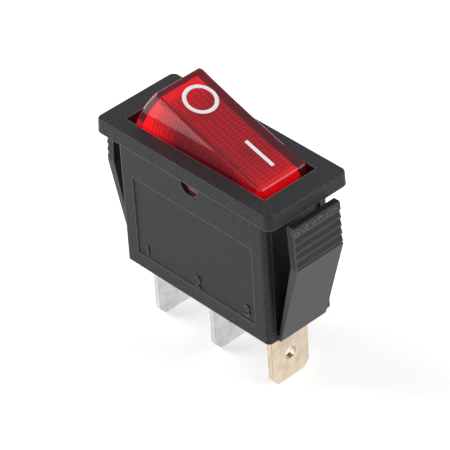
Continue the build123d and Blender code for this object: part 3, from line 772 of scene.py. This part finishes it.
# %% Black nylon
tree, shader = start_material("black_nylon")
set_values(shader, Roughness=0.45, IOR=1.35)
grain = use_group(tree, grain_group, Size=0.6, Contrast=1.0)
wear_and_highlight = use_group(tree, wear_and_highlight_group, Width=0.22 * MM, Amount=0.75)
grained = mix_colours(tree, grain["Speckle"], (0.001, 0.0012, 0.002), (0.036, 0.037, 0.041))
# Painted highlight: the edge mask lays a paler colour along the nylon's edges.
highlit = mix_colours(tree, wear_and_highlight["Mask"], grained, (0.19, 0.192, 0.196))
raised = {"Strength": 1.0, "Distance": 0.03 * MM, "Height": grain["Height"]}
bump = add(tree, "ShaderNodeBump", raised)
feed(tree, bump.outputs[0], shader, "Normal")
print("black_nylon has its grain and worn edges")

# %% [markdown]
# Two places on the wings look different. The panel's edge has scuffed a band across each wing
# just under the bezel, and the slopes below the finger ribs are painted paler, a painted reflection
# of the bright floor.
# Both are picked out by place: x outwards from the middle, and z.

# %% Scuffs and slopes of the wings
WING_FACE_OUT = 16.2
SCUFF_TOP = (-0.6, -1.0)
SCUFF_FOOT = (-1.8, -1.4)
SLOPE_TOP = (-6.6, -6.8)
SLOPE_OUT = (13.2, 13.4)
place = object_place(tree)
spot = add(tree, "ShaderNodeSeparateXYZ", {"Vector": place})
outward = maths(tree, "ABSOLUTE", spot.outputs["X"])


def mm_ramp(value, span):
    """A mask from 0 to 1 over a span in millimetres."""
    return ramp(tree, value, span[0] * MM, span[1] * MM)


on_wing = maths(tree, "GREATER_THAN", outward, WING_FACE_OUT * MM)
below_top = mm_ramp(spot.outputs["Z"], SCUFF_TOP)
above_foot = mm_ramp(spot.outputs["Z"], SCUFF_FOOT)
band = maths(tree, "MULTIPLY", maths(tree, "MULTIPLY", below_top, above_foot), on_wing)
scratches = ramp(tree, noise(tree, place, 6500.0, 2.0), 0.5, 0.7)
scuffed = maths(tree, "MULTIPLY", scratches, band)
scuffed_face = mix_colours(tree, scuffed, highlit, (0.2, 0.2, 0.21))
# Painted reflection: the slopes below the ribs get a paler colour.
below_ribs = mm_ramp(spot.outputs["Z"], SLOPE_TOP)
painted_slope_light = maths(tree, "MULTIPLY", below_ribs, mm_ramp(outward, SLOPE_OUT))
finished_face = mix_colours(tree, painted_slope_light, scuffed_face, (0.055, 0.056, 0.058))
feed(tree, finished_face, shader, "Base Color")
print("black_nylon has", len(tree.nodes), "nodes")

# %% [markdown]
# ## Clear red plastic
#
# The rocker is clear polycarbonate dyed red. Light that goes a long way through it turns deep
# red, so most of the colour is an absorption in the volume. The surface tints what it lets
# through as well, because the walls are too thin to do it alone.

# %% Clear red
tree, shader = start_material("clear_red")
set_values(shader, IOR=1.5, Transmission_Weight=0.93, Base_Color=(1.0, 0.08, 0.18, 1))
smudges = use_group(tree, smudge_group, Low=0.05, High=0.14)
feed(tree, smudges["Roughness"], shader, "Roughness")
dye = {"Color": (0.965, 0.05, 0.1, 1), "Density": 900.0}
volume = add(tree, "ShaderNodeVolumeAbsorption", dye)
tree.links.new(volume.outputs[0], tree.nodes["output"].inputs["Volume"])
print("clear_red absorbs at a density of", dye["Density"], "per metre")

# %% [markdown]
# ## Ribbed red
#
# The linings are matt, with painted shade: darker in the grooves than on the lands. They glow
# though they are no lamp: a painted red glow towards the ends stands for the light that the clear
# walls pipe there and that the ribs send out again.

# %% Ribbed red
tree, shader = start_material("ribbed_red")
set_values(shader, Roughness=0.4, Emission_Strength=0.9)
# Painted shade: the grooves are painted darker than the lands.
rib = add(tree, "ShaderNodeAttribute", attribute_name="rib_shade")
on_land = ramp(tree, rib.outputs["Fac"], 0.15, 1.0)
feed(
    tree,
    mix_colours(tree, on_land, (0.14, 0.004, 0.02), (1.0, 0.05, 0.07)),
    shader,
    "Base Color",
)
# Painted glow: an emission, red towards the ends, though the lining is no lamp.
painted_glow = add(tree, "ShaderNodeAttribute", attribute_name="painted_end_glow")
feed(
    tree,
    mix_colours(tree, painted_glow.outputs["Fac"], (0.02, 0, 0), (1.0, 0.0, 0.015)),
    shader,
    "Emission Color",
)
print("ribbed_red reads the attributes rib_shade and painted_end_glow")

# %% [markdown]
# ## White ink
#
# The marks are pad-printed: an even white with the faint speckle of thin ink.

# %% White ink
tree, shader = start_material("white_ink")
set_values(shader, Roughness=0.45)
grain = use_group(tree, grain_group, Contrast=1.0)
feed(
    tree,
    mix_colours(tree, grain["Speckle"], (0.86, 0.86, 0.87), (0.78, 0.77, 0.79)),
    shader,
    "Base Color",
)
print("white_ink has", len(tree.nodes), "nodes")

# %% [markdown]
# ## Metals
#
# Tabs, lever, plunger and contacts are sheet or drawn metal. Each is a mirror-like metal blurred
# by fine rolling lines, stretched noise along one direction, with a mottle of slight tarnish.
# The tabs' sheared edges are darker than their rolled faces.


# %% Metal maker
def metal(name, colour, tarnish, roughness, edge=None):
    """Metal with rolling lines along Z, patches of tarnish, and sheared edges of another colour.
    Its roughness goes from 0.8 to 1.25 times the middle value from line to line."""
    tree, shader = start_material(name)
    set_values(shader, Metallic=1.0)
    place = object_place(tree)
    drawn = add(tree, "ShaderNodeMapping", {"Vector": place, "Scale": (1.0, 1.0, 0.08)})
    lines = noise(tree, drawn.outputs[0], 7000.0, 3.0)
    mottle = ramp(tree, noise(tree, place, 800.0, 5.0), 0.35, 0.7)
    face = mix_colours(tree, mottle, colour, tarnish)
    if edge:
        wear_and_highlight = use_group(tree, wear_and_highlight_group, Width=0.18 * MM)
        face = mix_colours(tree, wear_and_highlight["Mask"], face, edge)
    feed(tree, face, shader, "Base Color")
    rough = ramp(tree, lines, 0.3, 0.7, roughness * 0.8, roughness * 1.25)
    feed(tree, rough, shader, "Roughness")
    raised = {"Strength": 0.15, "Distance": 0.01 * MM, "Height": lines}
    bump = add(tree, "ShaderNodeBump", raised)
    feed(tree, bump.outputs[0], shader, "Normal")
    print(name, "has", len(tree.nodes), "nodes")


metal("tinned_brass", (0.74, 0.74, 0.74), (0.62, 0.62, 0.62), 0.35, edge=(0.4, 0.4, 0.4))
metal("pale_brass", (0.78, 0.67, 0.53), (0.66, 0.53, 0.4), 0.38, edge=(0.4, 0.32, 0.24))
metal("drawn_brass", (0.78, 0.58, 0.27), (0.68, 0.48, 0.22), 0.25)
metal("copper_strip", (0.85, 0.5, 0.33), (0.7, 0.36, 0.22), 0.3)
metal("spring_wire", (0.62, 0.62, 0.64), (0.5, 0.5, 0.52), 0.28)
metal("contact_silver", (0.9, 0.9, 0.88), (0.78, 0.77, 0.74), 0.22)
metal("lead_wire", (0.78, 0.78, 0.77), (0.66, 0.66, 0.65), 0.3)

# %% [markdown]
# ## Lamp glass and resistor
#
# The neon lamp is a plain blown glass bulb, with the slight haze of handling.

# %% Lamp glass
tree, shader = start_material("lamp_glass")
set_values(shader, IOR=1.5, Transmission_Weight=1.0)
smudges = use_group(tree, smudge_group)
feed(tree, smudges["Roughness"], shader, "Roughness")
print("lamp_glass has", len(tree.nodes), "nodes")

# %% [markdown]
# The resistor has a baked coat with four colour bands. How far a point lies along the rocker is
# its position's dot product with the rocker's own direction, and a ramp with hard steps paints
# the bands.

# %% Resistor coat
BANDS = [(0.0, "coat"), (0.2, "yellow"), (0.28, "coat"), (0.4, "violet"), (0.48, "coat")]
BANDS += [(0.56, "orange"), (0.64, "coat"), (0.78, "gold"), (0.86, "coat")]
BAND_COLOURS = {
    "coat": (0.68, 0.5, 0.3, 1),
    "yellow": (0.85, 0.6, 0.03, 1),
    "violet": (0.2, 0.04, 0.3, 1),
    "orange": (0.85, 0.2, 0.02, 1),
    "gold": (0.5, 0.33, 0.08, 1),
}
RESISTOR_ENDS = (3.6, 7.0)
tree, shader = start_material("resistor_coat")
place = object_place(tree)
from_pivot = add(
    tree, "ShaderNodeVectorMath", {0: place, 1: (0, 0, PIVOT_Z * MM)}, operation="SUBTRACT"
)
direction = (math.cos(TILT), 0, -math.sin(TILT))
along = add(
    tree, "ShaderNodeVectorMath", {0: from_pivot.outputs[0], 1: direction}, operation="DOT_PRODUCT"
)
share = ramp(tree, along.outputs["Value"], RESISTOR_ENDS[0] * MM, RESISTOR_ENDS[1] * MM)
bands = add(tree, "ShaderNodeValToRGB", {"Fac": share})
steps = bands.color_ramp
steps.interpolation = "CONSTANT"
while len(steps.elements) < len(BANDS):
    steps.elements.new(0.5)
for element, (start, name) in zip(steps.elements, BANDS):
    element.position = start
    element.color = BAND_COLOURS[name]
feed(tree, bands.outputs[0], shader, "Base Color")
gloss = ramp(tree, noise(tree, place, 2500.0, 2.0), 0.0, 1.0, 0.25, 0.45)
feed(tree, gloss, shader, "Roughness")
print("resistor_coat has", len(steps.elements), "steps of colour")

# %% [markdown]
# ## Dressing the switch
#
# The record names each solid's finish, and the material for it has the same plain name. The new
# pieces get theirs one by one.

# %% Dress the solids
for part in frame["record"]["subparts"]:
    solid = frame["nodes"][part["node"]]
    solid.data.materials.clear()
    solid.data.materials.append(FINISHES[part["material_slot"]])
for pieces, finish in (
    ((mark_o, mark_i), "white_ink"),
    ((rib_sheet, rib_band), "ribbed_red"),
    ((lamp_spring, plunger_spring), "spring_wire"),
    (numbers + lips, "black_nylon"),
):
    for piece in pieces:
        piece.data.materials.append(FINISHES[finish])

# %% [markdown]
# ## Floor
#
# The switch stands on its tabs on a white floor. Rays that look at the floor, from the camera or
# by way of a mirror or glass, see it a little brighter than it is, so that it fades to pure white
# and keeps the switch's shadow. The light that it throws on the switch stays as it is.


# %% Floor
def looking_ray(tree):
    """1 for rays that look (camera, glossy and transmission) and 0 for those that only light."""
    path = add(tree, "ShaderNodeLightPath").outputs
    direct = maths(tree, "MAXIMUM", path["Is Camera Ray"], path["Is Glossy Ray"])
    return maths(tree, "MAXIMUM", direct, path["Is Transmission Ray"])


FLOOR_HALF = 0.6
FLOOR_EXTRA = 0.35
FLOOR_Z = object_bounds()[0][2]
sides = (-FLOOR_HALF, FLOOR_HALF)
floor_points = [(x, y, FLOOR_Z) for x in sides for y in sides]
floor = make_piece("floor", floor_points, [[0, 2, 3, 1]], smooth=False)
tree, shader = start_material("floor_white")
set_values(shader, Roughness=0.9, Base_Color=(0.9, 0.9, 0.9, 1))
glow = add(tree, "ShaderNodeEmission", {"Strength": FLOOR_EXTRA})
brighter = add(tree, "ShaderNodeAddShader", {0: shader.outputs[0], 1: glow.outputs[0]})
chosen = add(
    tree,
    "ShaderNodeMixShader",
    {0: looking_ray(tree), 1: shader.outputs[0], 2: brighter.outputs[0]},
)
tree.links.new(chosen.outputs[0], tree.nodes["output"].inputs["Surface"])
floor.data.materials.append(FINISHES["floor_white"])

# %% [markdown]
# ## Sky
#
# The room round the switch is white near the horizon and dims overhead, so that its reflection
# doesn't haze the rocker's red face. What lights the switch is weaker than what is seen, as for
# the floor.

# %% World
SKY_LIGHT = 0.6
SKY_SEEN = 1.0
world = bpy.data.worlds.new("studio")
bpy.context.scene.world = world
world.use_nodes = True
tree = world.node_tree
tree.nodes.clear()
strength = ramp(tree, looking_ray(tree), 0.0, 1.0, SKY_LIGHT, SKY_SEEN)
direction = add(tree, "ShaderNodeTexCoord").outputs["Generated"]
parts = add(tree, "ShaderNodeSeparateXYZ", {"Vector": direction})
overhead = ramp(tree, parts.outputs["Z"], 0.3, 0.8)
shade = mix_colours(tree, overhead, (1.0, 1.0, 1.0), (0.4, 0.4, 0.41))
sky = add(tree, "ShaderNodeBackground", {"Color": shade, "Strength": strength})
add(tree, "ShaderNodeOutputWorld", {"Surface": sky.outputs[0]})
print("sky strength:", SKY_LIGHT, "as light and", SKY_SEEN, "as seen")

# %% [markdown]
# ## Lamps
#
# Two large soft lamps stand at the left and at the right behind. The left one is placed where the
# bezel's front edges mirror it and the rocker's don't.


# %% Lamps
def soft_lamp(name, place, size, power):
    """A square area lamp at place, in metres, that faces the switch."""
    light = bpy.data.lights.new(name, "AREA")
    light.size = size
    light.energy = power
    lamp = bpy.data.objects.new(name, light)
    lamp.location = place
    bpy.context.scene.collection.objects.link(lamp)
    aim = -np.array(place) / np.linalg.norm(place)
    lamp.rotation_euler = (math.acos(-aim[2]), 0, math.atan2(aim[1], aim[0]) - math.pi / 2)
    print(name, "gives", power, "W")


soft_lamp("front_lamp", (-0.41, -0.24, 0.29), 0.4, 2.5)
soft_lamp("back_lamp", (0.33, 0.3, 0.33), 0.55, 2.1)

# %% [markdown]
# ## Camera
#
# The camera was solved from corners of the switch that the photograph shows. It is a long lens
# from some way off, above and to the right.

# %% Camera
camera_data = bpy.data.cameras.new("camera")
camera_data.lens = 254.57
camera_data.sensor_width = 36.0
camera = bpy.data.objects.new("camera", camera_data)
camera.location = (0.236518, -0.208791, 0.233082)
camera.rotation_euler = (0.9118554, 0.0508029, 0.8082099)
bpy.context.scene.collection.objects.link(camera)
bpy.context.scene.camera = camera
bpy.context.scene.view_settings.view_transform = "Standard"
print("camera lens:", camera_data.lens, "mm")
